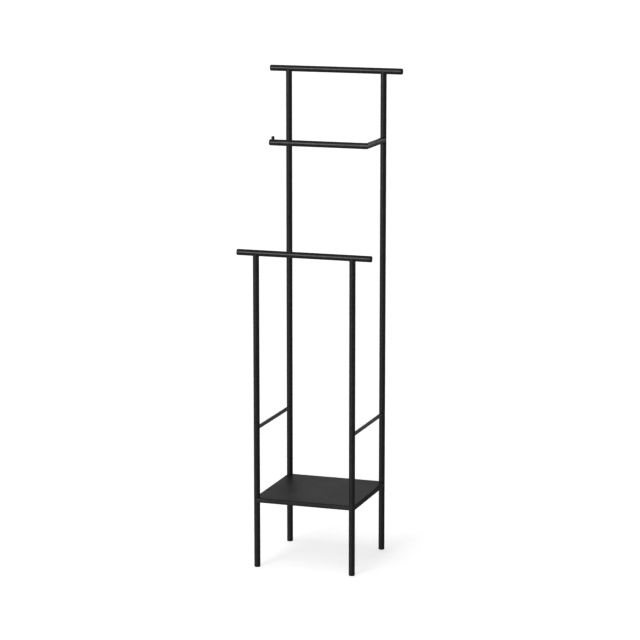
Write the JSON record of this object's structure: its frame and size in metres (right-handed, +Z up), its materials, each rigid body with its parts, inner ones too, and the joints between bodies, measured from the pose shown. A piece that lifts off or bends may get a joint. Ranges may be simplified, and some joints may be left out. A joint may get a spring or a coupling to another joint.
{
  "type": "valet stand",
  "caption": "Free-standing tubular steel valet stand: tall back frame with a jacket bar, lower front bar, L-shaped trouser bar with a stop peg, side struts and a low square shelf.",
  "frame": {"origin": "on the floor, in the middle of the footprint", "axes": "+Z up, +X to the right along the bars, +Y from the front frame to the back frame"},
  "size_m": [0.42, 0.32, 1.5],
  "materials": {
    "frame_powder_coat": "black powder coat, satin, with a very fine orange peel",
    "shelf_powder_coat": "black powder coat, satin to matt",
    "plug_plastic": "black moulded polyethylene",
    "fixing_steel": "zinc-plated steel"
  },
  "bodies": {
    "root": {"back_upright_left": "frame_powder_coat", "back_upright_right": "frame_powder_coat", "front_upright_left": "frame_powder_coat", "front_upright_right": "frame_powder_coat", "top_bar": "frame_powder_coat", "front_bar": "frame_powder_coat", "trouser_bar": "frame_powder_coat", "trouser_bar_arm": "frame_powder_coat", "stop_peg": "frame_powder_coat", "side_strut_left": "frame_powder_coat", "side_strut_right": "frame_powder_coat", "shelf_tray": "shelf_powder_coat", "shelf_bracket_front_left": "frame_powder_coat", "shelf_bracket_front_right": "frame_powder_coat", "shelf_bracket_back_left": "frame_powder_coat", "shelf_bracket_back_right": "frame_powder_coat", "shelf_stud_front_left": "fixing_steel", "shelf_stud_front_right": "fixing_steel", "shelf_stud_back_left": "fixing_steel", "shelf_stud_back_right": "fixing_steel", "shelf_nut_front_left": "fixing_steel", "shelf_nut_front_right": "fixing_steel", "shelf_nut_back_left": "fixing_steel", "shelf_nut_back_right": "fixing_steel", "foot_glide_front_left": "plug_plastic", "foot_glide_front_right": "plug_plastic", "foot_glide_back_left": "plug_plastic", "foot_glide_back_right": "plug_plastic", "top_bar_end_cap_left": "plug_plastic", "top_bar_end_cap_right": "plug_plastic", "front_bar_end_cap_left": "plug_plastic", "front_bar_end_cap_right": "plug_plastic", "trouser_bar_end_cap": "plug_plastic"}
  },
  "joints": []
}
